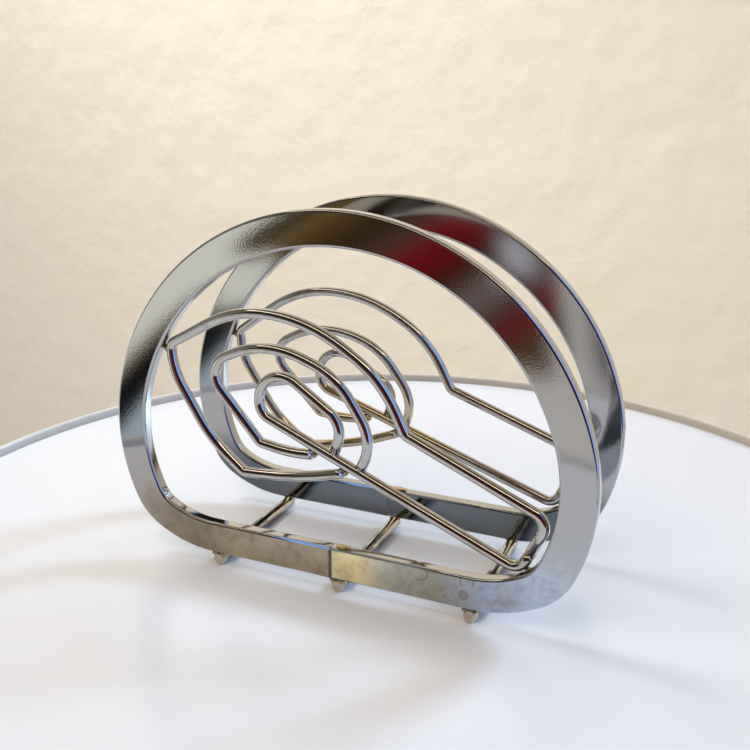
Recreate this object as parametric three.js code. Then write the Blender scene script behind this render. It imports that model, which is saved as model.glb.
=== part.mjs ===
// Napkin holder: two upright bar loops, each with a flower of bent wires welded inside it,
// joined underneath by three cross rods that are also its feet.
// Units are millimetres. X runs along the loops, Y from the front loop to the rear one, Z up.
// The origin is on the table, under the middle of the whole object.
import * as THREE from "three";

// ---- Driving sizes -------------------------------------------------------------------------
const loopWidth = 176; // outside width of a loop
const loopHeight = 128; // outside height of a loop
const loopSpacing = 52.7; // between the middles of the two bars

const barWidth = 12; // the bar's broad side, which faces front and back
const barThickness = 4.7;
const barEdgeRadius = 1.0; // rounding along the bar's four edges

const bellyRadius = 47; // outside radius of the rise from the flat base
const bellyTurn = 30; // degrees
const cornerRadius = 23; // outside radius of a bottom corner
const cornerTurn = 35.5; // degrees
const sideTurn = 39.5; // degrees that a side turns before the top arch takes over
const seamOffset = -0.9; // where the bar's two ends meet, left of the loop's middle
const seamGap = 0.4;

const wireDiameter = 3.7;
const rodDiameter = 4.7;
const rodSpacing = 48.2; // between the middle rod and each outer rod
const rodOffset = 1.3; // the middle rod, right of the loop's middle and clear of the seam
const rodInset = 0.6; // a rod's end, behind the loop's outer face
const rodChamfer = 0.5;

const weldGap = 0.3; // between pieces that a weld joins
const wireSetback = 1.6; // the wires lie this far behind the middle of their bar
const heelInset = 13.8; // middle of a flower's lower stem bend, from the side of the opening
const shortestEnd = 0.2; // straight wire between a bend and a cut end

// The loop's opening that the flower wires below are drawn for, and the height of its bottom.
const drawnOpening = { width: 152, height: 104, bottom: 12 };

// How each flower was bent and seated: how far below the top of the drawn opening its tip meets
// the side, how much wider its outer petal is than drawn, and how much shorter its middle one is.
const flowers = {
  front: { tipDrop: 40.5, outerSpread: 1.0, middleStretch: 1.0 },
  rear: { tipDrop: 48.0, outerSpread: 1.1, middleStretch: 0.95 },
};

// Facets: sides of a wire and of a rod, steps on the bar's edge, degrees for each step of a bend.
const wireSides = 10;
const rodSides = 16;
const barEdgeSteps = 2;
const wireBendStep = 12;
const loopBendStep = 4;
const seatPasses = 6; // a flower's scale and the room for its bends settle in a few passes

const chrome = { color: 0xb9bcc0, roughness: 0.12, metalness: 1 };

// ---- Flower wires --------------------------------------------------------------------------
// Each wire as it is bent: corner points [x, z, bend radius] in the plane of a loop whose
// bottom edge is at z = 0. A wide bend gives a bowed stretch. Ends that meet the lower stem are
// given on its middle line, and are then cut back to clear it.
const tip = [-65.9, 76.0, 3]; // the outer petal's point, which meets the loop's side
const heel = [63.1, 15.6, 4.5]; // the lower stem's bend, which stands on the loop's base
const stemJoint = [66.7, 23.4, 0]; // where the two stem wires meet end to end

const outerPetalWire = [
  [6.0, 39.6, 0],
  [-15.6, 33.1, 130],
  [-37.6, 31.9, 3],
  [-51.3, 42.9, 48],
  [-65.7, 66.6, 26],
  tip,
  [-40.3, 90.5, 46],
  [-12.2, 90.5, 53],
  [14.7, 73.0, 43],
  [23.3, 55.4, 3],
  [71.7, 34.3, 5],
  stemJoint,
];
const innerPetalWire = [
  stemJoint,
  heel,
  [-30.7, 55.2, 6],
  [-30.1, 77.1, 9],
  [1.4, 55.5, 9],
  [-2.6, 43.3, 0],
];
const middlePetalWire = [
  [-3.3, 43.6, 0],
  [-18.0, 42.3, 50],
  [-30.6, 44.1, 3],
  [-53.3, 69.8, 8],
  [-26.6, 81.2, 35],
  [-1.4, 72.1, 29],
  [12.4, 50.9, 16],
  [6.8, 39.3, 0],
];

// ---- Outline of a loop ---------------------------------------------------------------------
const radians = THREE.MathUtils.degToRad;
const wireRadius = wireDiameter / 2;
const rodRadius = rodDiameter / 2;
const stretchAcross = (loopWidth - 2 * barWidth) / drawnOpening.width;
const stretchUp = (loopHeight - 2 * barWidth) / drawnOpening.height;
const flatPoint = (x, z) => new THREE.Vector2(x, z);

// The arcs of a loop's right half, from the flat base to the top. Angles are headings, measured
// from the base. The side and top radii follow from the loop's width and height.
function loopArcs() {
  const belly = radians(bellyTurn);
  const corner = belly + radians(cornerTurn);
  const side = corner + radians(sideTurn);
  const cornerTop = bellyRadius * (1 - Math.cos(belly))
    + cornerRadius * (Math.cos(belly) - Math.cos(corner));
  const archRatio = (1 + Math.cos(side)) / Math.sin(side);
  const sideLean = 1 - Math.sin(side);
  const sideRadius = (loopHeight - cornerTop - (loopWidth / 2) * archRatio)
    / (Math.cos(corner) - Math.cos(side) - sideLean * archRatio);
  const archRadius = (loopWidth / 2 - sideRadius * sideLean) / Math.sin(side);
  return [
    { radius: bellyRadius, from: 0, to: belly },
    { radius: cornerRadius, from: belly, to: corner },
    { radius: sideRadius, from: corner, to: side },
    { radius: archRadius, from: side, to: Math.PI },
  ];
}

// Points of the right half outline, moved inward by `inset`. It is drawn from the top down,
// where its place is known, and returned from the base's right end up.
function halfOutline(inset) {
  const points = [];
  let place = flatPoint(0, loopHeight);
  for (const { radius, from, to } of loopArcs().reverse()) {
    const middle = flatPoint(place.x - radius * Math.sin(to), place.y + radius * Math.cos(to));
    const steps = Math.ceil((to - from) / radians(loopBendStep));
    for (let k = points.length === 0 ? 0 : 1; k <= steps; k += 1) {
      const heading = to + ((from - to) * k) / steps;
      const reach = radius - inset;
      points.push(flatPoint(middle.x + reach * Math.sin(heading), middle.y - reach * Math.cos(heading)));
    }
    place = flatPoint(middle.x + radius * Math.sin(from), middle.y - radius * Math.cos(from));
  }
  return points.reverse();
}

// Where the half outline, moved inward by `inset`, first reaches a value of x or y.
function outlinePlace(inset, axis, value) {
  const points = halfOutline(inset);
  const base = flatPoint(0, points[0].y);
  const line = [base, ...points];
  const next = line.findIndex((point) => point[axis] >= value);
  const [a, b] = [line[next - 1], line[next]];
  return a.clone().lerp(b, (value - a[axis]) / (b[axis] - a[axis]));
}

// ---- Placing a flower ----------------------------------------------------------------------
// A rounded corner of a bent wire: the bend's middle, and where it starts and ends.
function roundCorner(before, corner, after) {
  const place = flatPoint(...corner);
  const back = flatPoint(...before).sub(place).normalize();
  const ahead = flatPoint(...after).sub(place).normalize();
  const halfAngle = Math.acos(back.dot(ahead)) / 2;
  const inward = back.clone().add(ahead).normalize();
  return {
    start: place.clone().addScaledVector(back, corner[2] / Math.tan(halfAngle)),
    end: place.clone().addScaledVector(ahead, corner[2] / Math.tan(halfAngle)),
    middle: place.clone().addScaledVector(inward, corner[2] / Math.sin(halfAngle)),
  };
}

// The outer petal, spread away from the line that the lower stem runs along.
function spreadPetal(spread) {
  const along = flatPoint(...innerPetalWire[2]).sub(flatPoint(...heel)).normalize();
  const across = flatPoint(along.y, -along.x);
  return outerPetalWire.map((corner) => {
    if (corner === stemJoint) return corner;
    const away = flatPoint(...corner).sub(flatPoint(...heel)).dot(across);
    const place = flatPoint(...corner).addScaledVector(across, away * (spread - 1));
    return [place.x, place.y, corner[2]];
  });
}

// A drawn corner, stretched from the opening that it is drawn for to this loop's own.
function fitOpening([x, z, bend]) {
  const height = (z - drawnOpening.bottom) * stretchUp;
  return [x * stretchAcross, barWidth + height, bend * Math.min(stretchAcross, stretchUp)];
}

// Seats a flower in its loop: turned and scaled so that the bend at its tip meets the left side
// and the bend at its heel stands on the base, each clear of the bar by the weld gap.
function seatFlower(petal, lowerWire, tipDrop) {
  const tipAt = outerPetalWire.indexOf(tip);
  const tipMiddle = roundCorner(petal[tipAt - 1], petal[tipAt], petal[tipAt + 1]).middle;
  const heelMiddle = roundCorner(...lowerWire.slice(0, 3)).middle;
  const drawn = tipMiddle.clone().sub(heelMiddle);
  const toWireMiddle = barWidth + weldGap + wireRadius;
  const heelX = loopWidth / 2 - barWidth - heelInset;
  const tipHeight = loopHeight - barWidth - tipDrop * stretchUp;
  const centre = flatPoint(0, 0);
  let scale = 1;
  let turn = 0;
  let heelSeat = null;
  for (let pass = 0; pass < seatPasses; pass += 1) {
    const tipSeat = outlinePlace(toWireMiddle + petal[tipAt][2] * scale, "y", tipHeight);
    tipSeat.x *= -1;
    heelSeat = outlinePlace(toWireMiddle + lowerWire[1][2] * scale, "x", heelX);
    const seated = tipSeat.sub(heelSeat);
    scale = seated.length() / drawn.length();
    turn = seated.angle() - drawn.angle();
  }
  return (corner) => {
    const place = flatPoint(...corner).sub(heelMiddle).rotateAround(centre, turn);
    place.multiplyScalar(scale).add(heelSeat);
    return [place.x, place.y, corner[2] * scale];
  };
}

// The middle petal, stretched along the flower from its own left end.
function stretchPetal(stretch) {
  const leftEnd = Math.min(...middlePetalWire.map(([x]) => x));
  return middlePetalWire.map(([x, z, bend]) => [leftEnd + (x - leftEnd) * stretch, z, bend]);
}

// A wire's end that runs at the lower stem, stopped where its square-cut face clears the stem by
// the weld gap. The stem is given by a corner and its direction.
function clearOfStem(end, inner, stemCorner, stem) {
  const start = flatPoint(...inner);
  const ahead = flatPoint(...end).sub(start).normalize();
  const toMiddle = flatPoint(...stemCorner).sub(start).cross(stem) / ahead.cross(stem);
  const clearance = wireRadius + weldGap + wireRadius * Math.abs(ahead.dot(stem));
  const place = start.addScaledVector(ahead, toMiddle - clearance / Math.abs(ahead.cross(stem)));
  return [place.x, place.y, 0];
}

// A bend next to a wire's end, no wider than the wire left for it allows.
function limitBend(before, corner, end) {
  const back = flatPoint(...before).sub(flatPoint(...corner));
  const ahead = flatPoint(...end).sub(flatPoint(...corner));
  const halfAngle = Math.acos(back.dot(ahead) / (back.length() * ahead.length())) / 2;
  const room = ahead.length() - shortestEnd;
  return [corner[0], corner[1], Math.min(corner[2], room * Math.tan(halfAngle))];
}

// A wire whose last stretch runs at the lower stem, cut back to clear it.
function cutAtStem(wire, stemCorner, stem) {
  const end = clearOfStem(wire.at(-1), wire.at(-2), stemCorner, stem);
  const lastBend = limitBend(wire.at(-3), wire.at(-2), end);
  return [...wire.slice(0, -2), lastBend, end];
}

// A wire's end, moved back along the wire by half of the gap at the joint between the stems.
function clearOfJoint(end, inner) {
  const back = flatPoint(...inner).sub(flatPoint(...end)).normalize();
  const place = flatPoint(...end).addScaledVector(back, weldGap / 2);
  return [place.x, place.y, 0];
}

// The three wires of one flower, as corner lists in the loop's plane.
function flowerWires({ tipDrop, outerSpread, middleStretch }) {
  const petal = spreadPetal(outerSpread).map(fitOpening);
  const lowerWire = innerPetalWire.map(fitOpening);
  const seat = seatFlower(petal, lowerWire, tipDrop);
  const outer = petal.map(seat);
  const inner = lowerWire.map(seat);
  const middle = stretchPetal(middleStretch).map(fitOpening).map(seat);
  const heelCorner = inner[1];
  const stem = flatPoint(...inner[2]).sub(flatPoint(...heelCorner)).normalize();
  outer[outer.length - 1] = clearOfJoint(outer.at(-1), outer.at(-2));
  inner[0] = clearOfJoint(inner[0], inner[1]);
  const cut = (wire) => cutAtStem(wire, heelCorner, stem);
  return {
    outer: cut(outer.reverse()).reverse(),
    inner: cut(inner),
    middle: cut(cut(middle).reverse()).reverse(),
  };
}

// ---- Solids --------------------------------------------------------------------------------
// The middle line of a bent wire, with a station at each step of each bend.
function wireStations(corners) {
  const line = [flatPoint(...corners[0])];
  for (let i = 1; i < corners.length - 1; i += 1) {
    const bend = roundCorner(corners[i - 1], corners[i], corners[i + 1]);
    const from = bend.start.clone().sub(bend.middle);
    const to = bend.end.clone().sub(bend.middle);
    const turn = Math.atan2(from.cross(to), from.dot(to));
    const steps = Math.max(2, Math.ceil(Math.abs(turn) / radians(wireBendStep)));
    for (let k = 0; k <= steps; k += 1) {
      line.push(bend.start.clone().rotateAround(bend.middle, (turn * k) / steps));
    }
  }
  line.push(flatPoint(...corners.at(-1)));
  return line.map((place) => new THREE.Vector3(place.x, 0, place.y));
}

// A path that an extrusion follows from station to station.
class StationPath extends THREE.Curve {
  constructor(stations) {
    super();
    this.stations = stations;
  }

  getPointAt(u) {
    return this.stations[Math.round(u * (this.stations.length - 1))].clone();
  }

  getTangentAt(u) {
    const last = this.stations.length - 1;
    const i = Math.round(u * last);
    const tangent = new THREE.Vector3();
    for (const k of [Math.max(i, 1), Math.min(i + 1, last)]) {
      tangent.add(this.stations[k].clone().sub(this.stations[k - 1]).normalize());
    }
    return tangent.normalize();
  }
}

function wireGeometry(corners) {
  const stations = wireStations(corners);
  const section = new THREE.Shape();
  for (let k = 0; k < wireSides; k += 1) {
    const angle = (2 * Math.PI * k) / wireSides;
    const [x, y] = [wireRadius * Math.cos(angle), wireRadius * Math.sin(angle)];
    if (k === 0) section.moveTo(x, y);
    else section.lineTo(x, y);
  }
  const options = { steps: stations.length - 1, extrudePath: new StationPath(stations) };
  return new THREE.ExtrudeGeometry(section, options);
}

// One bar, bent edgewise into a loop, with its ends facing each other across the seam.
function loopGeometry() {
  const mirrored = (points) => points.map((point) => flatPoint(-point.x, point.y)).reverse();
  const outer = halfOutline(0);
  const inner = halfOutline(barWidth);
  const rightEnd = seamOffset + seamGap / 2;
  const leftEnd = seamOffset - seamGap / 2;
  const outline = [
    flatPoint(rightEnd, 0),
    ...outer.slice(0, -1),
    ...mirrored(outer),
    flatPoint(leftEnd, 0),
    flatPoint(leftEnd, barWidth),
    ...mirrored(inner).reverse(),
    ...inner.slice(0, -1).reverse(),
    flatPoint(rightEnd, barWidth),
  ];
  const depth = barThickness - 2 * barEdgeRadius;
  const geometry = new THREE.ExtrudeGeometry(new THREE.Shape(outline), {
    depth,
    steps: 1,
    bevelThickness: barEdgeRadius,
    bevelSize: barEdgeRadius,
    bevelOffset: -barEdgeRadius,
    bevelSegments: barEdgeSteps,
  });
  return geometry.translate(0, 0, -depth / 2).rotateX(Math.PI / 2);
}

// A straight rod along Y, with flats at the very top and bottom of its facets.
function rodGeometry() {
  const cornerReach = rodRadius / Math.cos(Math.PI / rodSides);
  const endAt = (loopSpacing + barThickness) / 2 - rodInset;
  const profile = [
    flatPoint(0, -endAt),
    flatPoint(cornerReach - rodChamfer, -endAt),
    flatPoint(cornerReach, rodChamfer - endAt),
    flatPoint(cornerReach, endAt - rodChamfer),
    flatPoint(cornerReach - rodChamfer, endAt),
    flatPoint(0, endAt),
  ];
  return new THREE.LatheGeometry(profile, rodSides, Math.PI / rodSides);
}

// ---- The assembly --------------------------------------------------------------------------
function piece(name, geometry) {
  const mesh = new THREE.Mesh(geometry, new THREE.MeshStandardMaterial(chrome));
  mesh.name = name;
  return mesh;
}

// One side of the holder: a loop and its flower, in the plane y = 0.
function side(name, flower) {
  const group = new THREE.Group();
  group.add(piece(`${name}_loop`, loopGeometry()));
  for (const [petal, corners] of Object.entries(flowerWires(flower))) {
    const wire = piece(`${name}_${petal}_petal_wire`, wireGeometry(corners));
    wire.position.y = wireSetback;
    group.add(wire);
  }
  group.position.z = rodDiameter + weldGap;
  return group;
}

const holder = new THREE.Group();

const front = side("front", flowers.front);
front.position.y = -loopSpacing / 2;
const rear = side("rear", flowers.rear);
rear.position.y = loopSpacing / 2;
holder.add(front, rear);

for (const [i, place] of ["left", "middle", "right"].entries()) {
  const rod = piece(`cross_rod_${place}`, rodGeometry());
  rod.position.set(rodOffset + (i - 1) * rodSpacing, 0, rodRadius);
  holder.add(rod);
}

// The rear flower stands out behind its loop, so the middle of the whole object is moved to y = 0.
const extent = new THREE.Box3().setFromObject(holder, true);
holder.position.y = -(extent.min.y + extent.max.y) / 2;

export default holder;
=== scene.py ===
# %% [markdown]
# # A chrome napkin holder
# Two upright loops of flat bar each carry a flower of bent wire, and three round rods under them
# hold the loops apart and stand on the table. Every piece is welded to its neighbours. The lesson
# draws each piece the way a wire shop makes it: a short section of stock is pulled out straight
# and turned around bending pins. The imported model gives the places, and one body carries it all.
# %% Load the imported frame
import cmath
import math

import bmesh
import bpy
from mathutils import Matrix, Vector, noise


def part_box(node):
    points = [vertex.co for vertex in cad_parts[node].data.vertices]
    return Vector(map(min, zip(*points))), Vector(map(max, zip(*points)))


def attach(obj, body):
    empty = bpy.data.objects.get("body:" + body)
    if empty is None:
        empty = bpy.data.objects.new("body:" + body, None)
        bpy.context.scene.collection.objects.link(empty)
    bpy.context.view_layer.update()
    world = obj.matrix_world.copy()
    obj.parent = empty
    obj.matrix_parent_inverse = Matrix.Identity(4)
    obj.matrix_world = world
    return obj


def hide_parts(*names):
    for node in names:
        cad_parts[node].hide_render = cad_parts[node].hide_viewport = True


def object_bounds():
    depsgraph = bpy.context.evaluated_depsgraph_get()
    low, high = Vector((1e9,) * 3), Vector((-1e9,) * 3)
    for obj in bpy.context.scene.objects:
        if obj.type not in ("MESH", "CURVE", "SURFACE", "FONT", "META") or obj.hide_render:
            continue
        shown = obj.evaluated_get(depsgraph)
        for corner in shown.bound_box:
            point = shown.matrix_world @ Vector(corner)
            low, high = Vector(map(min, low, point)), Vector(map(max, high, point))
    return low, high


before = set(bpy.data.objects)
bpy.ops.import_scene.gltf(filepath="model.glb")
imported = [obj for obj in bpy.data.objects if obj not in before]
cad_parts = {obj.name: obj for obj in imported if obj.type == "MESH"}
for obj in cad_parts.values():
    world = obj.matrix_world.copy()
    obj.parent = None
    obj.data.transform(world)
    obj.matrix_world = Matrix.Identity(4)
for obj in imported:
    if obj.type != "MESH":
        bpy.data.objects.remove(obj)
cad_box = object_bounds()
print("packed nodes:", sorted(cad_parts))
print("packed box:", [list(corner) for corner in cad_box])

# %% [markdown]
# ## Sizes
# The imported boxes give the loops' width, height and place, and the rods. A box can't tell how
# wide the bar is or how it was bent, so those sizes are named here in millimetres, as on a shop
# drawing, and turned into metres once. A place in the plane of a loop is written as a complex
# number, across + up * 1j, because turning and scaling are then plain multiplication.
# %% Sizes from the frame and from the shop drawing
MM = 0.001
BAR_WIDTH = 12 * MM
BAR_EDGE_RADIUS = 1.0 * MM
BELLY_RADIUS = 47 * MM   # outside of the bend that lifts the flat base
CORNER_RADIUS = 23 * MM  # outside of a bottom corner
BELLY_TURN = math.radians(30)
CORNER_TURN = math.radians(35.5)
SIDE_TURN = math.radians(39.5)
SEAM_OFFSET = -0.9 * MM
SEAM_GAP = 0.4 * MM
WIRE_RADIUS = 1.85 * MM
WELD_GAP = 0.3 * MM
HEEL_INSET = 13.8 * MM   # middle of the lower stem's bend, from the side of the opening
SEAT_PASSES = 6

loop_low, loop_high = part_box("front_loop")
LOOP_WIDTH = loop_high.x - loop_low.x
LOOP_HEIGHT = loop_high.z - loop_low.z
LOOP_BASE = loop_low.z
BAR_THICKNESS = loop_high.y - loop_low.y
print("loop:", round(LOOP_WIDTH / MM, 1), "x", round(LOOP_HEIGHT / MM, 1), "mm, bar",
      round(BAR_THICKNESS / MM, 1), "mm thick")

# %% [markdown]
# ## Pulling stock around pins
# A loop and a wire differ only in their section, so one bender makes both. It keeps hold of the
# section's end face: `extrude_face_region` pulls it straight to where a bend starts and `spin`
# turns it around the pin. A curve object with a bevel could do it too, but spin keeps every
# step of a bend square to the stock, and the caps come with it.
# %% The bender
FRONTWARDS = Vector((0, -1, 0))  # a left turn, as seen from the front, turns about this axis


def across(first, second):
    """Twice the area between two plane vectors: positive when the second lies to the left."""
    return (first.conjugate() * second).imag


def unit(step):
    return step / abs(step)


def in_space(place, y):
    """A place in a loop's plane, as a point of the whole scene."""
    return Vector((place.real, y, place.imag + LOOP_BASE))


def face_the_way(bm, start, heading, y):
    """Stands a flat section up at the start, with its back to the way that the stock goes."""
    ahead = Vector((heading.real, 0, heading.imag))
    left = Vector((-heading.imag, 0, heading.real))
    turn = Matrix((left, FRONTWARDS * -1, -ahead)).transposed().to_4x4()
    bmesh.ops.transform(bm, matrix=Matrix.Translation(in_space(start, y)) @ turn, verts=bm.verts[:])


def pull(bm, end, step):
    """Pulls the end face straight on and returns the new end face."""
    pulled = bmesh.ops.extrude_face_region(bm, geom=[end])["geom"]
    points = [item for item in pulled if isinstance(item, bmesh.types.BMVert)]
    bmesh.ops.translate(bm, vec=Vector((step.real, 0, step.imag)), verts=points)
    return next(item for item in pulled if isinstance(item, bmesh.types.BMFace))


def draw_stock(bm, start, bends, finish, y, bend_step):
    """Draws the section in bm from start to finish. A bend is (start, pin, angle), a left turn
    being positive."""
    place = start
    heading = unit(bends[0][0] - start)
    face_the_way(bm, start, heading, y)
    end = bm.faces[:][0]
    for bend_start, pin, angle in bends:
        if abs(bend_start - place) > 1e-6:
            end = pull(bm, end, bend_start - place)
        steps = max(2, math.ceil(abs(angle) / bend_step))
        turned = bmesh.ops.spin(
            bm, geom=[end], cent=in_space(pin, y), axis=FRONTWARDS * math.copysign(1, angle),
            angle=abs(angle), steps=steps)["geom_last"]
        end = next(item for item in turned if isinstance(item, bmesh.types.BMFace))
        place = pin + (bend_start - pin) * cmath.exp(1j * angle)
    pull(bm, end, finish - place)
    bmesh.ops.remove_doubles(bm, verts=bm.verts[:], dist=1e-7)
    bmesh.ops.recalc_face_normals(bm, faces=bm.faces[:])


def make_piece(name, bm, node, material):
    """Finishes a piece: smooth faces, its finish, and the CAD node that it stands for, if any."""
    for face in bm.faces:
        face.smooth = True
    mesh = bpy.data.meshes.new(name)
    bm.to_mesh(mesh)
    bm.free()
    piece = bpy.data.objects.new(name, mesh)
    bpy.context.scene.collection.objects.link(piece)
    mesh.materials.append(material)
    even = piece.modifiers.new("even_normals", "WEIGHTED_NORMAL")
    even.keep_sharp = True
    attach(piece, "root")
    if node:
        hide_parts(node)
    print(name, len(mesh.polygons), "faces")
    return piece


# %% [markdown]
# ## Chrome
# Chrome plate is a mirror, so most of its look comes from what it reflects. What makes it read as
# plated steel is what breaks the mirror: the faint orange peel of the polished steel below, a slow
# ripple along the wires, tiny pits, and brown bloom where a weld burnt the plating, which also
# carries a painted reflection of the table's warm shadow. Each is a noise in object space, at its
# real size, that feeds the bump, the roughness or the colour. The colours of the loops' feet and of
# the rear flower's lower petals are partly painted reflection too.
# %% A small kit for materials
def new_material(name):
    """A material with its shader, and a helper that adds a node and links its inputs."""
    material = bpy.data.materials.new(name)
    material.use_nodes = True
    tree = material.node_tree
    shader = tree.nodes["Principled BSDF"]
    return material, shader, adder(tree)


def adder(tree):
    def add(kind, inputs=None, **settings):
        node = tree.nodes.new(kind)
        for key, value in settings.items():
            setattr(node, key, value)
        for key, value in (inputs or {}).items():
            if isinstance(value, bpy.types.NodeSocket):
                tree.links.new(value, node.inputs[key])
            else:
                node.inputs[key].default_value = value
        return node
    return add


def between(add, value, low, high, to_low=0.0, to_high=1.0):
    """A soft step of a value between two limits."""
    step = add("ShaderNodeMapRange", {"Value": value, "From Min": low, "From Max": high,
                                      "To Min": to_low, "To Max": to_high},
               interpolation_type="SMOOTHSTEP")
    return step.outputs["Result"]


def product(add, *values):
    result = values[0]
    for value in values[1:]:
        result = add("ShaderNodeMath", {0: result, 1: value}, operation="MULTIPLY").outputs[0]
    return result


def blend_colours(add, share, first, second):
    mix = add("ShaderNodeMix", {"Factor": share, "A": first, "B": second}, data_type="RGBA")
    return mix.outputs["Result"]


def noise_at(add, place, size, detail=2.0, roughness=0.5):
    """Soft noise whose lumps are about `size` metres across."""
    return add("ShaderNodeTexNoise", {"Vector": place, "Scale": 1 / size, "Detail": detail,
                                      "Roughness": roughness}).outputs["Fac"]


def bumped(add, height, distance, strength, under=None):
    inputs = {"Height": height, "Distance": distance, "Strength": strength}
    if under:
        inputs["Normal"] = under
    return add("ShaderNodeBump", inputs).outputs["Normal"]


# %% [markdown]
# The bar's broad faces show all of it. The foot of a loop got hot when its two ends were welded
# together, so its chrome is partly heat tint there; the rest of its colour is painted reflection of
# the room and of the table's warm shadow. A colour ramp along the front foot gives it: brown to the
# left of the seam, straw to the right, pale towards the corners and a painted blue reflection at
# the right end. The rear loop's foot is a painted dark blue-grey reflection of the table between
# the loops. The colour only lies on the broad faces, which the surface's own normal tells apart.
# Noises break it up into patches and mottling, and a few curled stains come from the rings around
# the cells of a Voronoi pattern.
# %% Chrome for the bar
# Colours of the foot of the front loop, part heat tint and part painted reflection of the room,
# from left to right: place in mm, colour.
FOOT_TINT_AND_REFLECTION = [
    (-80, (0.46, 0.44, 0.41)), (-66, (0.35, 0.30, 0.23)), (-55, (0.30, 0.26, 0.19)),
    (-38, (0.46, 0.39, 0.27)), (-20, (0.41, 0.34, 0.25)), (-1.8, (0.46, 0.38, 0.25)),
    (-1.5, (0.10, 0.08, 0.06)), (-0.4, (0.10, 0.08, 0.06)), (0, (0.95, 0.80, 0.47)),
    (9, (0.98, 0.82, 0.46)), (20, (0.54, 0.54, 0.47)), (38, (0.38, 0.39, 0.33)),
    (56, (0.50, 0.59, 0.78)), (80, (0.54, 0.58, 0.64)),
]
FOOT_EDGE = 80.0


def colour_ramp(add, place, first, last, stops, gain=1.0):
    """Colours between stops, each (place, colour)."""
    share = add("ShaderNodeMapRange", {"Value": place, "From Min": first,
                                       "From Max": last}).outputs["Result"]
    ramp = add("ShaderNodeValToRGB", {"Fac": share})
    marks = ramp.color_ramp.elements
    while len(marks) < len(stops):
        marks.new(0.5)
    for mark, (at, paint) in zip(marks, stops):
        mark.position = (at - first) / (last - first)
        mark.color = (*[gain * part for part in paint], 1.0)
    return ramp.outputs["Color"]


def bar_chrome():
    material, shader, add = new_material("bar_chrome")
    place = add("ShaderNodeTexCoord").outputs["Object"]
    apart = add("ShaderNodeSeparateXYZ", {"Vector": place})
    left, deep, up = (apart.outputs[axis] for axis in "XYZ")
    normal = add("ShaderNodeNewGeometry").outputs["Normal"]
    facing = add("ShaderNodeSeparateXYZ", {"Vector": normal})
    flatness = add("ShaderNodeMath", {0: facing.outputs["Y"]}, operation="ABSOLUTE").outputs[0]
    foot = product(add, between(add, up, LOOP_BASE + 30 * MM, LOOP_BASE + 14 * MM),
                   between(add, flatness, 0.6, 0.9))
    front = between(add, deep, 2 * MM, -2 * MM)
    left_mm = add("ShaderNodeMath", {0: left, 1: 1 / MM}, operation="MULTIPLY").outputs[0]
    front_foot = colour_ramp(add, left_mm, -FOOT_EDGE, FOOT_EDGE, FOOT_TINT_AND_REFLECTION)
    # The rear loop's foot gets a dark blue-grey: painted reflection of the table between the loops.
    foot_tint_and_reflection = blend_colours(add, front, (0.165, 0.18, 0.20, 1.0), front_foot)
    # Brown patches left of the seam: heat bloom, and painted reflection of the table's warm shadow.
    near_seam = product(
        add, between(add, left, -100 * MM, -45 * MM), between(add, left, 9 * MM, -1 * MM), front)
    patches = between(add, noise_at(add, place, 11 * MM, 5.0, 0.65), 0.46, 0.64)
    seam_bloom_and_reflection = product(add, foot, near_seam, patches)
    rings = add("ShaderNodeTexVoronoi", {"Vector": place, "Scale": 1 / (9.5 * MM)})
    wobble = noise_at(add, place, 5 * MM, 2.0)
    ring = add("ShaderNodeMath", {0: wobble, 1: 0.16, 2: rings.outputs["Distance"]},
               operation="MULTIPLY_ADD").outputs[0]
    broken = between(add, noise_at(add, place, 4 * MM, 1.0), 0.50, 0.57)
    curled = product(add, between(add, ring, 0.27, 0.30), between(add, ring, 0.38, 0.35), broken)
    stains = product(add, foot, curled, front, between(add, left, 24 * MM, 32 * MM),
                     between(add, left, 66 * MM, 58 * MM))
    bright = (0.49, 0.49, 0.49, 1.0)
    # Brown of heat bloom, stains and mottling, and of the painted warm reflection near the seam.
    burnt_and_reflected_brown = (0.20, 0.155, 0.10, 1.0)
    colour = blend_colours(add, foot, bright, foot_tint_and_reflection)
    mottled = between(add, noise_at(add, place, 3.5 * MM, 3.0, 0.6), 0.40, 0.70)
    colour = blend_colours(add, product(add, mottled, foot, front, 0.30), colour, burnt_and_reflected_brown)
    colour = blend_colours(add, product(add, seam_bloom_and_reflection, 0.5), colour, burnt_and_reflected_brown)
    colour = blend_colours(add, product(add, stains, 0.5), colour, burnt_and_reflected_brown)
    specks = add("ShaderNodeTexVoronoi", {"Vector": place, "Scale": 1 / (11 * MM)})
    pitted = between(add, specks.outputs["Distance"], 0.03, 0.012)
    colour = blend_colours(add, product(add, pitted, 0.7), colour, (0.10, 0.08, 0.06, 1.0))
    shader.inputs["Metallic"].default_value = 1.0
    roughness = add("ShaderNodeMath", {0: product(add, seam_bloom_and_reflection, 0.22), 1: 0.055}, operation="ADD")
    roughness = add("ShaderNodeMath", {0: product(add, stains, 0.2), 1: roughness.outputs[0]},
                    operation="ADD")
    peel = noise_at(add, place, 0.5 * MM, 2.0)
    normal = bumped(add, peel, 0.028 * MM, 0.22)
    normal = bumped(add, pitted, -0.05 * MM, 0.6, normal)
    tree = material.node_tree
    tree.links.new(colour, shader.inputs["Base Color"])
    tree.links.new(roughness.outputs[0], shader.inputs["Roughness"])
    tree.links.new(normal, shader.inputs["Normal"])
    return material
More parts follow.
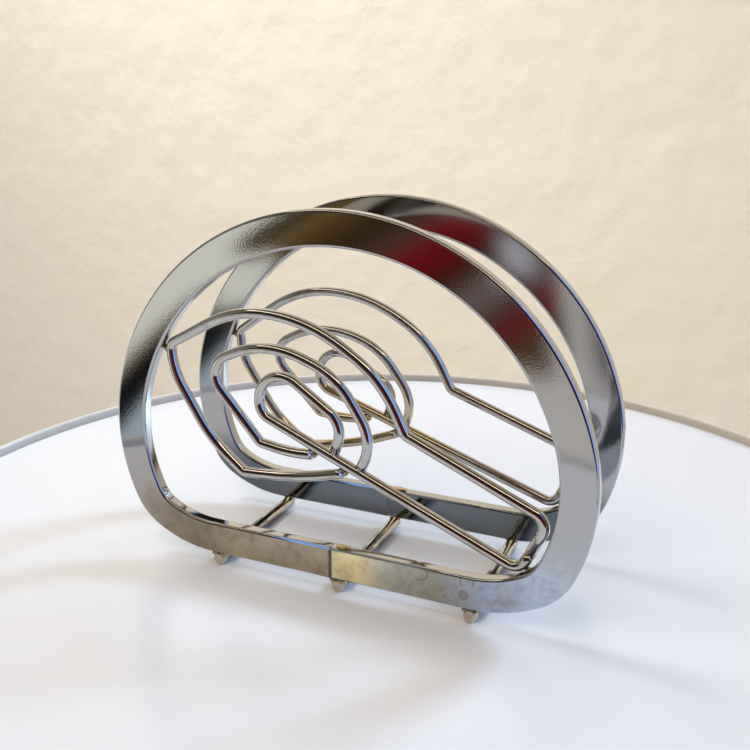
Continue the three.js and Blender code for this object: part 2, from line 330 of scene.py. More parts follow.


# %% [markdown]
# Wire comes off the drawing die smoother than bar, so its plating is cleaner: fine draw lines are
# too small to see, and only a slow ripple and a light haze remain. The rods are the same stock a
# size up and a little browner. The lower petals of the rear flower, and any wire, rod or bead in
# that corner, get a painted gold reflection. The beads of the welds were plated over scale, so they
# are dark, rough and pitted.
# %% Chrome for wires, rods and beads
def round_chrome(name, colour, dull, roughness, ripple, haze_size):
    material, shader, add = new_material(name)
    place = add("ShaderNodeTexCoord").outputs["Object"]
    haze = between(add, noise_at(add, place, haze_size, 4.0, 0.6), 0.48, 0.72)
    shader.inputs["Metallic"].default_value = 1.0
    rough = between(add, haze, 0.0, 1.0, roughness, roughness + 0.12)
    normal = bumped(add, noise_at(add, place, 5 * MM, 1.0), 0.3 * MM, ripple)
    normal = bumped(add, noise_at(add, place, 0.8 * MM, 2.0), 0.02 * MM, ripple, normal)
    tree = material.node_tree
    apart = add("ShaderNodeSeparateXYZ", {"Vector": place})
    # Painted gold reflection at the back, left of about 30 mm and below about 70 mm: the rear
    # flower's lower petals.
    painted_gold_reflection = product(add, between(add, apart.outputs["Y"], 0.0, 12 * MM),
                       between(add, apart.outputs["X"], 34 * MM, 14 * MM),
                       between(add, apart.outputs["Z"], 72 * MM, 52 * MM), 0.6)
    plated = blend_colours(add, haze, colour, dull)
    tree.links.new(blend_colours(add, painted_gold_reflection, plated, (0.62, 0.46, 0.24, 1.0)),
                   shader.inputs["Base Color"])
    tree.links.new(rough, shader.inputs["Roughness"])
    tree.links.new(normal, shader.inputs["Normal"])
    return material


BAR_CHROME = bar_chrome()
WIRE_CHROME = round_chrome("wire_chrome", (0.56, 0.55, 0.53, 1.0), (0.44, 0.41, 0.36, 1.0),
                           0.035, 0.04, 9 * MM)
ROD_CHROME = round_chrome("rod_chrome", (0.66, 0.60, 0.49, 1.0), (0.42, 0.34, 0.22, 1.0),
                          0.06, 0.04, 6 * MM)
BEAD_CHROME = round_chrome("bead_chrome", (0.52, 0.41, 0.24, 1.0), (0.09, 0.065, 0.04, 1.0),
                           0.12, 0.7, 1.3 * MM)
print("finishes:", [m.name for m in (BAR_CHROME, WIRE_CHROME, ROD_CHROME, BEAD_CHROME)])

# %% [markdown]
# ## The outline of a loop
# Each half of a loop is four arcs, one after another: a belly that lifts off the flat base, a
# tight bottom corner, a long side and the wide top arch. The first two radii are the bender's
# pins. The last two follow from the loop's width and height.
# %% Arcs of a loop
def loop_arcs():
    """(outside radius, first heading, last heading) of the right half, from the base up."""
    belly = BELLY_TURN
    corner = belly + CORNER_TURN
    side = corner + SIDE_TURN
    corner_top = (BELLY_RADIUS * (1 - math.cos(belly))
                  + CORNER_RADIUS * (math.cos(belly) - math.cos(corner)))
    arch_ratio = (1 + math.cos(side)) / math.sin(side)
    side_lean = 1 - math.sin(side)
    side_radius = ((LOOP_HEIGHT - corner_top - LOOP_WIDTH / 2 * arch_ratio)
                   / (math.cos(corner) - math.cos(side) - side_lean * arch_ratio))
    arch_radius = (LOOP_WIDTH / 2 - side_radius * side_lean) / math.sin(side)
    return [(BELLY_RADIUS, 0, belly), (CORNER_RADIUS, belly, corner),
            (side_radius, corner, side), (arch_radius, side, math.pi)]


def arc_pins():
    """The right half's arcs from the base up, as (pin, radius, first heading, last heading)."""
    pins = []
    place = LOOP_HEIGHT * 1j
    for radius, first, last in reversed(loop_arcs()):
        pin = place + radius * 1j * cmath.exp(1j * last)
        pins.append((pin, radius, first, last))
        place = pin - radius * 1j * cmath.exp(1j * first)
    return pins[::-1]


def half_outline(inset, step=math.radians(1)):
    """Points of the right half, moved inwards, from the base's right end to the top."""
    points = []
    for pin, radius, first, last in arc_pins():
        steps = math.ceil((last - first) / step)
        for k in range(steps + 1):
            heading = first + (last - first) * k / steps
            points.append(pin - (radius - inset) * 1j * cmath.exp(1j * heading))
    return points


def outline_place(inset, reading, value):
    """Where the right half, moved inwards, first reaches a value of its width or height."""
    points = half_outline(inset)
    line = [points[0].imag * 1j, *points]
    after = next(k for k, point in enumerate(line) if reading(point) >= value)
    a, b = line[after - 1], line[after]
    return a + (b - a) * (value - reading(a)) / (reading(b) - reading(a))


print("pins:", [(round(r / MM, 1), round(math.degrees(b - a), 1)) for _, r, a, b in arc_pins()])

# %% [markdown]
# ## The loops
# A real loop is one length of flat bar, bent edgewise until its ends meet at the bottom, with a
# butt seam just left of the middle. The section is a small rectangle whose corners are rounded
# with a vertex bevel, so that the loop gets its rolled edges all the way round at once.
# %% Bend the two loops
def bar_section():
    bm = bmesh.new()
    bmesh.ops.create_grid(bm, x_segments=1, y_segments=1, size=0.5)
    bmesh.ops.scale(bm, vec=(BAR_WIDTH, BAR_THICKNESS, 1), verts=bm.verts[:])
    bmesh.ops.bevel(bm, geom=bm.verts[:], offset=BAR_EDGE_RADIUS, offset_type="OFFSET",
                    affect="VERTICES", segments=5, profile=0.5, material=-1)
    return bm


def middle_line(pin, radius, heading):
    """The bar's middle at a heading of an arc."""
    return pin - (radius - BAR_WIDTH / 2) * 1j * cmath.exp(1j * heading)


def loop_bends():
    bends = []
    for pin, radius, first, last in arc_pins():
        bends.append((middle_line(pin, radius, first), pin, last - first))
    for pin, radius, first, last in reversed(arc_pins()):
        mirrored = -pin.conjugate()
        start = -middle_line(pin, radius, last).conjugate()
        bends.append((start, mirrored, last - first))
    return bends


BAR_MIDDLE = BAR_WIDTH / 2 * 1j
for side in ("front", "rear"):
    low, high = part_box(f"{side}_loop")
    bar = bar_section()
    draw_stock(bar, SEAM_OFFSET + SEAM_GAP / 2 + BAR_MIDDLE, loop_bends(),
               SEAM_OFFSET - SEAM_GAP / 2 + BAR_MIDDLE, (low.y + high.y) / 2, math.radians(2))
    make_piece(f"{side}_bar_loop", bar, f"{side}_loop", BAR_CHROME)

# %% [markdown]
# ## The flowers
# Three wires make a flower. The outer petal runs on into the upper stem, the inner petal into the
# lower stem, and a middle petal lies between. The corners below are the bender's marks: across,
# up and the radius of the pin, for the front flower. Both flowers were bent on the same jig and
# then sprung into their loops by hand, so the rear one is seated lower and spread a little.
# %% The bender's marks
TIP = (-65.9, 76.0, 3)
HEEL = (63.1, 15.6, 4.5)
STEM_JOINT = (66.7, 23.4, 0)
OUTER_PETAL = [(6.0, 39.6, 0), (-15.6, 33.1, 130), (-37.6, 31.9, 3), (-51.3, 42.9, 48),
               (-65.7, 66.6, 26), TIP, (-40.3, 90.5, 46), (-12.2, 90.5, 53), (14.7, 73.0, 43),
               (23.3, 55.4, 3), (71.7, 34.3, 5), STEM_JOINT]
INNER_PETAL = [STEM_JOINT, HEEL, (-30.7, 55.2, 6), (-30.1, 77.1, 9), (1.4, 55.5, 9),
               (-2.6, 43.3, 0)]
MIDDLE_PETAL = [(-3.3, 43.6, 0), (-18.0, 42.3, 50), (-30.6, 44.1, 3), (-53.3, 69.8, 8),
                (-26.6, 81.2, 35), (-1.4, 72.1, 29), (12.4, 50.9, 16), (6.8, 39.3, 0)]
FLOWERS = {
    "front": {"tip_drop": 52.5 * MM, "spread": 1.0, "stretch": 1.0},
    "rear": {"tip_drop": 60.0 * MM, "spread": 1.1, "stretch": 0.95},
}


def marks(corners):
    """Corners as (place, pin radius) in metres."""
    return [((x + z * 1j) * MM, radius * MM) for x, z, radius in corners]


def round_corner(before, corner, after):
    """(where the bend starts, its pin, how far it turns)."""
    place, radius = corner
    back = unit(before[0] - place)
    ahead = unit(after[0] - place)
    half = abs(cmath.phase(ahead / back)) / 2
    start = place + back * radius / math.tan(half)
    pin = place + unit(back + ahead) * radius / math.sin(half)
    return start, pin, math.copysign(math.pi - 2 * half, across(-back, ahead))


# %% [markdown]
# Seating a flower is one turn, one scale and one move, which two touching places settle: the bend
# at its tip meets the loop's left side, and the bend at its heel stands on the base. The room a
# bend needs depends on the scale, so a few passes settle it.
# %% Seat a flower in its loop
def seat_flower(outer, inner, tip_drop):
    tip_at = OUTER_PETAL.index(TIP)
    tip_pin = round_corner(*outer[tip_at - 1:tip_at + 2])[1]
    heel_pin = round_corner(*inner[0:3])[1]
    to_wire = BAR_WIDTH + WELD_GAP + WIRE_RADIUS
    scale = 1.0
    for _ in range(SEAT_PASSES):
        tip_seat = outline_place(to_wire + TIP[2] * MM * scale, lambda p: p.imag,
                                 LOOP_HEIGHT - tip_drop)
        heel_seat = outline_place(to_wire + HEEL[2] * MM * scale, lambda p: p.real,
                                  LOOP_WIDTH / 2 - BAR_WIDTH - HEEL_INSET)
        spin = (-tip_seat.conjugate() - heel_seat) / (tip_pin - heel_pin)
        scale = abs(spin)
    return lambda corner: ((corner[0] - heel_pin) * spin + heel_seat, corner[1] * scale)


def end_at_stem(end, inner, stem_place, stem):
    """The end of a wire that runs at the lower stem, stopped where it meets the stem's side."""
    ahead = unit(end[0] - inner[0])
    reach = across(stem_place - inner[0], stem) / across(ahead, stem)
    square = abs(across(ahead, stem))
    slanted = abs((ahead.conjugate() * stem).real)
    stop = reach - WIRE_RADIUS * (0.85 + slanted) / square
    return inner[0] + ahead * stop, 0.0


def flower_wires(tip_drop, spread, stretch):
    outer, inner, middle = marks(OUTER_PETAL), marks(INNER_PETAL), marks(MIDDLE_PETAL)
    heel = inner[1][0]
    along = unit(inner[2][0] - heel)
    away = -1j * along
    outer = [(place + away * across(along, place - heel) * -(spread - 1), radius)
             if radius or place != outer[-1][0] else (place, radius) for place, radius in outer]
    seat = seat_flower(outer, inner, tip_drop)
    left_end = min(place.real for place, _ in middle)
    middle = [(complex(left_end + (place.real - left_end) * stretch, place.imag), radius)
              for place, radius in middle]
    outer, inner, middle = [[seat(corner) for corner in wire] for wire in (outer, inner, middle)]
    stem_place = inner[1][0]
    stem = unit(inner[2][0] - stem_place)
    outer[0] = end_at_stem(outer[0], outer[1], stem_place, stem)
    inner[-1] = end_at_stem(inner[-1], inner[-2], stem_place, stem)
    middle[0] = end_at_stem(middle[0], middle[1], stem_place, stem)
    middle[-1] = end_at_stem(middle[-1], middle[-2], stem_place, stem)
    return {"outer": outer, "inner": inner, "middle": middle}


# %% [markdown]
# A wire's section is a plain circle. The bend steps are fine enough that a highlight runs around
# a bend without a break.
# %% Bend the six wires
WIRE_SIDES = 28
WIRE_BEND_STEP = math.radians(4)
flower_marks = {}
wire_line = {}
for side, seating in FLOWERS.items():
    flower_marks[side] = flower_wires(**seating)
    for petal, corners in flower_marks[side].items():
        node = f"{side}_{petal}_petal_wire"
        low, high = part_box(node)
        wire_line[side] = (low.y + high.y) / 2
        wire = bmesh.new()
        bmesh.ops.create_circle(wire, cap_ends=True, segments=WIRE_SIDES, radius=WIRE_RADIUS)
        bends = [round_corner(*corners[k - 1:k + 2]) for k in range(1, len(corners) - 1)]
        draw_stock(wire, corners[0][0], bends, corners[-1][0], wire_line[side], WIRE_BEND_STEP)
        make_piece(f"{side}_{petal}_petal", wire, node, WIRE_CHROME)

# %% [markdown]
# ## The cross rods
# The rods were sheared off with no care, because nobody looks under a napkin holder: the ends are
# a little domed, dented and out of round. Each rod is pulled out of a circle in short steps near
# its ends and one long step between, and a noise that fades out away from the ends dents it. The
# dents only go inwards, so a rod still stands flat on the table.
# %% Pull the three rods
ROD_SIDES = 32
ROD_END_STEPS = 7
ROD_ROUGH_LENGTH = 4.5 * MM
ROD_RIM = 0.45 * MM
DENT = 0.42 * MM


def rod_stations(low, high):
    """How far along the rod its rings lie: close together near the ends."""
    near = [ROD_ROUGH_LENGTH * k / ROD_END_STEPS for k in range(ROD_END_STEPS + 1)]
    return [low + step for step in near] + [high - step for step in reversed(near)]


def dented(point, axis_x, axis_z, low, high, seed):
    """A point of the rod, moved inwards near the ends."""
    end_distance = min(point.y - low, high - point.y)
    share = max(0.0, 1 - end_distance / ROD_ROUGH_LENGTH) ** 1.5
    lump = noise.noise(point / (1.5 * MM) + Vector((seed, seed * 2.3, 0)))
    inward = Vector((axis_x - point.x, 0, axis_z - point.z))
    return point + inward * (max(0.0, lump + 0.15) * share * DENT / (2 * MM))


for seed, name in enumerate(("left", "middle", "right")):
    low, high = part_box(f"cross_rod_{name}")
    radius = (high.z - low.z) / 2
    centre_x = (low.x + high.x) / 2
    centre_z = (low.z + high.z) / 2
    rod = bmesh.new()
    bmesh.ops.create_circle(rod, cap_ends=True, segments=ROD_SIDES, radius=radius)
    lay_down = Matrix.Rotation(math.radians(90), 4, "X")
    bmesh.ops.transform(rod, matrix=Matrix.Translation((centre_x, low.y, centre_z)) @ lay_down,
                        verts=rod.verts[:])
    end = rod.faces[:][0]
    stations = rod_stations(low.y, high.y)
    for here, there in zip(stations, stations[1:]):
        pulled = bmesh.ops.extrude_face_region(rod, geom=[end])["geom"]
        ring = [item for item in pulled if isinstance(item, bmesh.types.BMVert)]
        bmesh.ops.translate(rod, vec=(0, there - here, 0), verts=ring)
        end = next(item for item in pulled if isinstance(item, bmesh.types.BMFace))
    caps = [face for face in rod.faces if abs(face.normal.y) > 0.9]
    rims = [edge for edge in rod.edges
            if edge.is_boundary is False and sum(face in caps for face in edge.link_faces) == 1]
    bmesh.ops.bevel(rod, geom=rims, offset=ROD_RIM, offset_type="OFFSET", affect="EDGES",
                    segments=3, profile=0.5, material=-1)
    for _ in range(3):
        caps = [face for face in rod.faces if len(face.verts) == ROD_SIDES]
        bmesh.ops.inset_individual(rod, faces=caps, thickness=radius * 0.2, depth=0.0)
    for vert in rod.verts:
        vert.co = dented(vert.co, centre_x, centre_z, low.y, high.y, seed * 7.1 + 3)
        off_centre = (Vector((vert.co.x, vert.co.z)) - Vector((centre_x, centre_z))).length
        cap_share = max(0.0, 1 - off_centre / radius)
        if min(vert.co.y - low.y, high.y - vert.co.y) < 0.1 * MM:
            sink = (0.5 + noise.noise(vert.co / (1.2 * MM))) * 0.3 * MM * cap_share
            vert.co.y += sink if vert.co.y < 0 else -sink
    bmesh.ops.recalc_face_normals(rod, faces=rod.faces[:])
    make_piece(f"{name}_cross_rod", rod, f"cross_rod_{name}", ROD_CHROME)

# %% [markdown]
# ## The welds
# Every contact is a small electric weld, plated over: a lump of a few millimetres that bulges out
# of the corner between two pieces. A bead is an icosphere, squashed along the contact and then
# pushed in and out by noise. Each has its own seed, so no two are alike.
# %% A weld bead
SKIN = 0.02 * MM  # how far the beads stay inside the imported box


def weld_bead(name, centre, size, seed, roughness=0.28):
    """A lumpy bead. `size` is its half size along X, Y and Z."""
    bm = bmesh.new()
    bmesh.ops.create_icosphere(bm, subdivisions=4, radius=1.0)
    shift = Vector((seed * 3.7, seed * 1.9, seed * 0.7))
    for vert in bm.verts:
        coarse = noise.noise(vert.co * 1.6 + shift)
        fine = noise.noise(vert.co * 4.5 + shift)
        vert.co *= 1 + roughness * (coarse + 0.45 * fine) - roughness * 0.5
    bmesh.ops.scale(bm, vec=size, verts=bm.verts[:])
    bmesh.ops.translate(bm, vec=centre, verts=bm.verts[:])
    for vert in bm.verts:
        vert.co.z = max(vert.co.z, cad_box[0].z)
        vert.co.y = min(max(vert.co.y, cad_box[0].y + SKIN), cad_box[1].y - SKIN)
    return make_piece(name, bm, None, BEAD_CHROME)


def mm_vector(x, y, z):
    return Vector((x, y, z)) * MM


# %% Welds between rods and loops
for j, side in enumerate(("front", "rear")):
    low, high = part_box(f"{side}_loop")
    outward = -1 if side == "front" else 1
    outer_face = low.y if side == "front" else high.y
    for k, name in enumerate(("left", "middle", "right")):
        rod_low, rod_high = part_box(f"cross_rod_{name}")
        x = (rod_low.x + rod_high.x) / 2
        for m, lean in enumerate((-1, 1)):
            centre = Vector((x + lean * 1.7 * MM, outer_face - outward * 1.5 * MM,
                             LOOP_BASE - 0.55 * MM))
            weld_bead(f"{side}_{name}_rod_weld_{m + 1}", centre, mm_vector(1.35, 1.5, 0.95),
                      j * 20 + k * 5 + m * 2.6 + 1)

# %% Welds of the flowers and the seams
for j, side in enumerate(("front", "rear")):
    wires = flower_marks[side]
    y = wire_line[side]
    bends = {petal: [round_corner(*corners[k - 1:k + 2]) for k in range(1, len(corners) - 1)]
             for petal, corners in wires.items()}
    tip_at = OUTER_PETAL.index(TIP) - 1
    tip_pin = bends["outer"][tip_at][1]
    heel_pin = bends["inner"][0][1]
    stem = unit(wires["inner"][2][0] - wires["inner"][1][0])
    contacts = {
        "tip": (tip_pin - 4.9 * MM, (1.1, 1.3, 1.6)),
        "heel": (heel_pin + (5.2 - 5.2j) * MM, (1.5, 1.2, 1.2)),
        "stem_joint": (wires["inner"][0][0] + 0.4 * MM, (0.85, 1.2, 0.35)),
        "outer_end": (wires["outer"][0][0], (1.5, 1.5, 1.2)),
        "inner_end": (wires["inner"][-1][0], (1.4, 1.5, 1.2)),
        "middle_left_end": (wires["middle"][0][0], (1.5, 1.5, 1.2)),
        "middle_right_end": (wires["middle"][-1][0], (1.4, 1.5, 1.3)),
    }
    for k, (name, (place, size)) in enumerate(contacts.items()):
        weld_bead(f"{side}_{name}_weld", in_space(place, y), mm_vector(*size), j * 31 + k * 4.3 + 2)
    low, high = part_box(f"{side}_loop")
    weld_bead(f"{side}_seam_weld",
              in_space(SEAM_OFFSET + 4 * MM + (BAR_WIDTH + 0.1 * MM) * 1j, (low.y + high.y) / 2),
              mm_vector(3.2, 1.7, 0.55), j * 11 + 5)

# %% [markdown]
# ## Table, wall and room
# Chrome shows its surroundings, so the set matters as much as the metal. A pale round table top
# stands in front of a cream wall. What the camera never sees, but the chrome does, is the room:
# a bright window side to the right and a dark side around the camera, which gives the bars their
# brown and black bands. The room is painted on the world as soft windows of azimuth and height.
# %% Table and wall
TABLE_RADIUS = 206.5 * MM
TABLE_MIDDLE = Vector((4.2, 20, 0)) * MM
TABLE_THICKNESS = 12 * MM
WALL_DISTANCE = 0.50


def stage_piece(name, bm, material):
    mesh = bpy.data.meshes.new(name)
    bm.to_mesh(mesh)
    bm.free()
    piece = bpy.data.objects.new(name, mesh)
    bpy.context.scene.collection.objects.link(piece)
    mesh.materials.append(material)
    return piece


def table_material():
    material, shader, add = new_material("table_top")
    place = add("ShaderNodeTexCoord").outputs["Object"]
    cloud = noise_at(add, place, 120 * MM, 2.0)
    tree = material.node_tree
    colour = blend_colours(add, cloud, (0.54, 0.55, 0.60, 1.0), (0.60, 0.605, 0.65, 1.0))
    tree.links.new(colour, shader.inputs["Base Color"])
    shader.inputs["Roughness"].default_value = 0.22
    normal = bumped(add, noise_at(add, place, 3 * MM, 2.0), 0.05 * MM, 0.3)
    tree.links.new(normal, shader.inputs["Normal"])
    return material


def rim_material():
    material, shader, _ = new_material("table_rim")
    shader.inputs["Base Color"].default_value = (0.50, 0.46, 0.42, 1.0)
    shader.inputs["Roughness"].default_value = 0.35
    return material


def wall_material():
    material, shader, add = new_material("plaster_wall")
    place = add("ShaderNodeTexCoord").outputs["Object"]
    shader.inputs["Base Color"].default_value = (0.97, 0.90, 0.76, 1.0)
    shader.inputs["Roughness"].default_value = 0.8
    normal = bumped(add, noise_at(add, place, 42 * MM, 4.0, 0.5), 5 * MM, 0.6)
    material.node_tree.links.new(normal, shader.inputs["Normal"])
    return material


table = bmesh.new()
bmesh.ops.create_cone(table, cap_ends=True, segments=192, radius1=TABLE_RADIUS,
                      radius2=TABLE_RADIUS, depth=TABLE_THICKNESS)
rim = [edge for edge in table.edges if all(v.co.z > 0 for v in edge.verts)]
bmesh.ops.bevel(table, geom=rim, offset=3 * MM, offset_type="OFFSET", affect="EDGES",
                segments=4, profile=0.5, material=-1)
bmesh.ops.translate(table, vec=TABLE_MIDDLE - Vector((0, 0, TABLE_THICKNESS / 2)),
                    verts=table.verts[:])
stage_piece("table", table, table_material())

rim_ring = bmesh.new()
bmesh.ops.create_grid(rim_ring, x_segments=1, y_segments=1, size=0.5)
bmesh.ops.scale(rim_ring, vec=(3 * MM, 7 * MM, 1), verts=rim_ring.verts[:])
bmesh.ops.bevel(rim_ring, geom=rim_ring.verts[:], offset=1.2 * MM, offset_type="OFFSET",
                affect="VERTICES", segments=4, profile=0.5, material=-1)
bmesh.ops.transform(rim_ring, matrix=Matrix.Translation(
    TABLE_MIDDLE + Vector((TABLE_RADIUS + 1.5 * MM, 0, 0))) @ Matrix.Rotation(
    math.radians(90), 4, "X"), verts=rim_ring.verts[:])
bmesh.ops.spin(rim_ring, geom=rim_ring.faces[:], cent=TABLE_MIDDLE, axis=(0, 0, 1),
               angle=2 * math.pi, steps=180, use_merge=True)
bmesh.ops.recalc_face_normals(rim_ring, faces=rim_ring.faces[:])
stage_piece("table_rim", rim_ring, rim_material())

wall = bmesh.new()
bmesh.ops.create_grid(wall, x_segments=1, y_segments=1, size=1.6)
bmesh.ops.transform(wall, matrix=Matrix.Translation((-0.25, WALL_DISTANCE, 0.4))
                    @ Matrix.Rotation(math.radians(90), 4, "X"), verts=wall.verts[:])
wall_piece = stage_piece("wall", wall, wall_material())
wall_piece.visible_shadow = False

# %% A plain backdrop for the camera alone
def backdrop_material():
    material, shader, _ = new_material("backdrop")
    shader.inputs["Base Color"].default_value = (0.0, 0.0, 0.0, 1.0)
    shader.inputs["Specular IOR Level"].default_value = 0.0
    shader.inputs["Emission Color"].default_value = (0.80, 0.76, 0.68, 1.0)
    shader.inputs["Emission Strength"].default_value = 1.0
    return material


dome = bmesh.new()
bmesh.ops.create_icosphere(dome, subdivisions=5, radius=3.0)
backdrop = stage_piece("backdrop", dome, backdrop_material())
for unseen in ("visible_diffuse", "visible_glossy", "visible_transmission", "visible_shadow",
               "visible_volume_scatter"):
    setattr(backdrop, unseen, False)

# %% [markdown]
# The front faces are flat mirrors that lean neither up nor down, so they show a low strip of the
# room in front of the table, from just under eye level down to the table's edge. Chairs, clothes
# and shelves stand there in upright streaks, which a colour ramp across the strip paints. To
# their left comes a bright window patch with the dark shadow of the table's edge below it.
# %% The room, as the chrome sees it
ROOM = [
    # azimuth from, to; height from, to; softness (degrees); colour. Azimuth 0 is straight ahead
    # of the holder, and grows to its right.
    (-181, 181, 22, 91, 22, (0.19, 0.13, 0.058)),      # dim ceiling
    (-75, 75, 49, 53, 1.5, (4.6, 4.1, 3.2)),           # a long lamp on it
    (-112, -40, -4, 34, 14, (0.30, 0.29, 0.27)),       # left side of the room
    (100, 185, -16, 40, 12, (1.30, 1.08, 0.66)),       # the cream wall behind
    (-185, -110, -16, 40, 12, (1.30, 1.08, 0.66)),
    (56, 112, -14, 48, 8, (0.40, 0.80, 1.70)),         # window side
    (-8, 58, -17, 40, 4.0, (0.022, 0.020, 0.022)),     # dark side, around the camera
    (-42, -8, -4, 40, 5.0, (0.040, 0.034, 0.026)),
    (-6, 60, -13, 14, 3.0, (0.120, 0.014, 0.012)),     # its red part
]
# Streaks, from left to right: place on the strip in degrees, colour.
STREAKS = [
    (-23.0, (0.85, 0.85, 0.76)), (-22.0, (0.085, 0.055, 0.022)), (-20.2, (0.032, 0.024, 0.009)),
    (-19.2, (0.190, 0.125, 0.045)), (-17.8, (0.100, 0.056, 0.018)), (-14.5, (0.036, 0.020, 0.006)),
    (-11.4, (0.090, 0.050, 0.035)), (-10.0, (0.200, 0.008, 0.012)), (-7.2, (0.130, 0.006, 0.006)),
    (-5.4, (0.044, 0.010, 0.002)), (-2.4, (0.180, 0.140, 0.130)), (0.2, (0.090, 0.045, 0.040)),
    (1.8, (0.150, 0.010, 0.014)), (4.6, (0.080, 0.042, 0.015)), (7.4, (0.120, 0.080, 0.045)),
    (9.5, (0.40, 0.36, 0.33)),
]
# Three pale things on the strip, as (azimuth from, to; height from, to; softness; colour).
GLINTS = [
    (-14.6, -12.4, -10.4, -7.4, 1.8, (0.62, 0.62, 0.68)),
    (-33.5, -29.4, -12.6, -9.4, 1.0, (1.05, 1.05, 0.95)),
    (-18.6, -13.5, -6.2, -4.7, 1.2, (0.26, 0.30, 0.26)),
]
STRIP_LIGHT = 1.27  # all streaks brighter by this
STREAK_LEAN = 1.15  # degrees to the right for each degree up
STREAK_FIRST, STREAK_LAST = -30.0, 20.0


def room_angles(add):
    """Azimuth and height, in degrees, of what a ray sees."""
    ray = add("ShaderNodeTexCoord").outputs["Generated"]
    apart = add("ShaderNodeSeparateXYZ", {"Vector": ray})
    ahead = add("ShaderNodeMath", {0: apart.outputs["Y"], 1: -1.0}, operation="MULTIPLY")
    turn = add("ShaderNodeMath", {0: apart.outputs["X"], 1: ahead.outputs[0]},
               operation="ARCTAN2").outputs[0]
    rise = add("ShaderNodeMath", {0: apart.outputs["Z"]}, operation="ARCSINE").outputs[0]
    return [add("ShaderNodeMath", {0: angle, 1: 180 / math.pi}, operation="MULTIPLY").outputs[0]
            for angle in (turn, rise)]


def room_window(add, azimuth, height, left, right, low, high, soft):
    """1 inside a window of the room, falling off softly at its sides."""
    half = soft / 2
    return product(add, between(add, azimuth, left - half, left + half),
                   between(add, azimuth, right + half, right - half),
                   between(add, height, low - half, low + half),
                   between(add, height, high + half, high - half))


def leaning(add, first, second, share):
    """first - second * share, for streaks that lean."""
    scaled = add("ShaderNodeMath", {0: second, 1: share}, operation="MULTIPLY").outputs[0]
    return add("ShaderNodeMath", {0: first, 1: scaled}, operation="SUBTRACT").outputs[0]


def paint_room():
    world = bpy.data.worlds.new("room")
    bpy.context.scene.world = world
    world.use_nodes = True
    tree = world.node_tree
    add = adder(tree)
    azimuth, height = room_angles(add)
    colour = (0.72, 0.69, 0.67, 1.0)
    for left, right, low, high, soft, paint in ROOM:
        share = room_window(add, azimuth, height, left, right, low, high, soft)
        colour = blend_colours(add, share, colour, (*paint, 1.0))

    across_strip = leaning(add, azimuth, height, STREAK_LEAN)
    streaks = colour_ramp(add, across_strip, STREAK_FIRST, STREAK_LAST, STREAKS, STRIP_LIGHT)
    strip = room_window(add, azimuth, height, -32.5, -10.4, -17.0, -3.5, 2.2)
    colour = blend_colours(add, strip, colour, streaks)

    # The bright patch on the left, the black band under it and the pale strip under that.
    below = leaning(add, height, azimuth, 0.6)
    patch = room_window(add, azimuth, height, -60.0, -31.9, -30.0, -2.0, 1.0)
    pale = blend_colours(add, between(add, below, 7.7, 9.6), (0.22, 0.18, 0.12, 1.0),
                         (1.08, 1.07, 0.97, 1.0))
    band = blend_colours(add, between(add, below, 7.3, 7.9), (0.0008, 0.0008, 0.0008, 1.0), pale)
    sky = blend_colours(add, between(add, below, 3.9, 5.2), (0.55, 0.64, 0.74, 1.0), band)
    colour = blend_colours(add, patch, colour, sky)
    for left, right, low, high, soft, paint in GLINTS:
        share = room_window(add, azimuth, height, left, right, low, high, soft)
        colour = blend_colours(add, share, colour, (*paint, 1.0))
    background = tree.nodes["Background"]
    tree.links.new(colour, background.inputs["Color"])
    background.inputs["Strength"].default_value = 1.0


paint_room()
print("room windows:", len(ROOM), "streaks:", len(STREAKS))

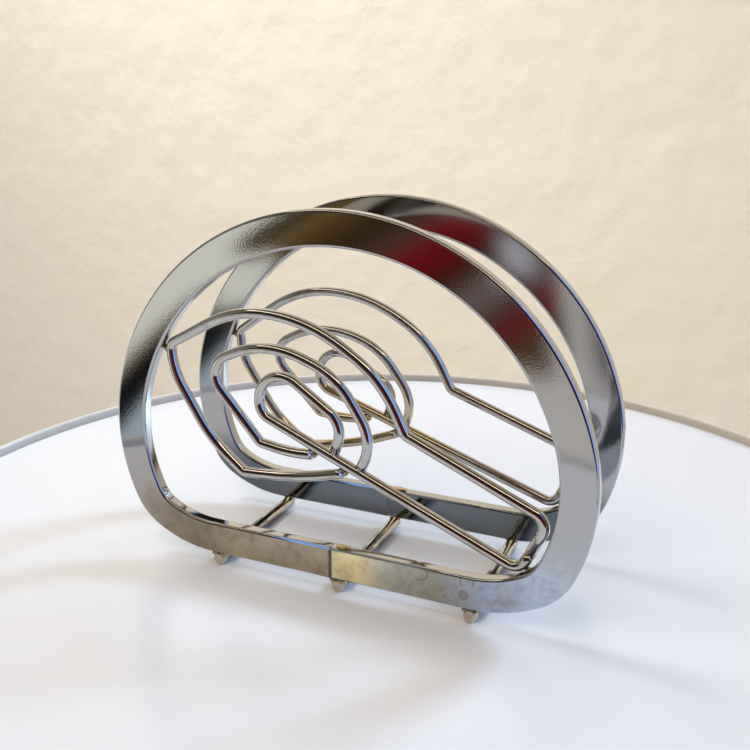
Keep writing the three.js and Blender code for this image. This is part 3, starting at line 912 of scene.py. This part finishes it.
# %% [markdown]
# ## Lights
# Daylight falls in from behind on the right and throws soft shadows to the front left. A sun
# lamp gives it evenly all over the table, and its wide disc keeps the shadows soft. A warm lamp
# in front lightens them, and a third one washes the wall. Chrome would show those two as bright
# squares, so reflections leave them out: the painted room is all that the metal shows.
# %% Lights
def area_light(name, place, target, size, power, colour, spread=180):
    light = bpy.data.lights.new(name, "AREA")
    light.size = size
    light.energy = power
    light.color = colour
    light.spread = math.radians(spread)
    lamp = bpy.data.objects.new(name, light)
    bpy.context.scene.collection.objects.link(lamp)
    lamp.location = place
    lamp.rotation_euler = (Vector(target) - Vector(place)).to_track_quat("-Z", "Y").to_euler()
    lamp.visible_glossy = False


SUN_HEADING = Vector((-0.6, -0.8, -0.6))

window_sun = bpy.data.lights.new("window_sun", "SUN")
window_sun.angle = math.radians(14)
window_sun.energy = 2.9
window_sun.color = (0.50, 0.74, 1.0)
sun_lamp = bpy.data.objects.new("window_sun", window_sun)
bpy.context.scene.collection.objects.link(sun_lamp)
sun_lamp.rotation_euler = SUN_HEADING.to_track_quat("-Z", "Y").to_euler()
area_light("fill_light", (-0.10, -0.47, 0.60), (0, -0.12, 0), 0.5, 3.1, (1.0, 0.87, 0.68))
area_light("wall_light", (-0.75, 0.12, 1.15), (-0.15, 0.5, 0.12), 0.4, 3.9, (1.0, 0.99, 0.91), 90)
bpy.context.scene.view_settings.view_transform = "Standard"

# %% [markdown]
# ## Camera
# The camera looks down on the holder from the front right. Its heading, pitch and roll are
# angles, and the lens follows from the angle of view.
# %% Camera
CAMERA_PLACE = Vector((118.86, -274.5, 163.35)) * MM
YAW, PITCH, ROLL = (math.radians(angle) for angle in (-23.036, 16.176, 0.252))
FOCAL_SHARE = 876.3 / 750  # focal length over frame width
SENSOR = 36.0

camera_data = bpy.data.cameras.new("camera")
camera_data.sensor_width = SENSOR
camera_data.lens = SENSOR * FOCAL_SHARE
camera_data.shift_x = 0.0040
camera_data.shift_y = -0.0185
camera_data.clip_start = 0.01
camera = bpy.data.objects.new("camera", camera_data)
bpy.context.scene.collection.objects.link(camera)
ahead = Vector((math.sin(YAW) * math.cos(PITCH), math.cos(YAW) * math.cos(PITCH),
                -math.sin(PITCH)))
level = Vector((math.cos(YAW), -math.sin(YAW), 0))
upright = level.cross(ahead)
right = level * math.cos(ROLL) + upright * math.sin(ROLL)
up = upright * math.cos(ROLL) - level * math.sin(ROLL)
pose = Matrix((right, up, -ahead)).transposed().to_4x4()
camera.matrix_world = Matrix.Translation(CAMERA_PLACE) @ pose
bpy.context.scene.camera = camera
print("lens:", round(camera_data.lens, 2), "mm")
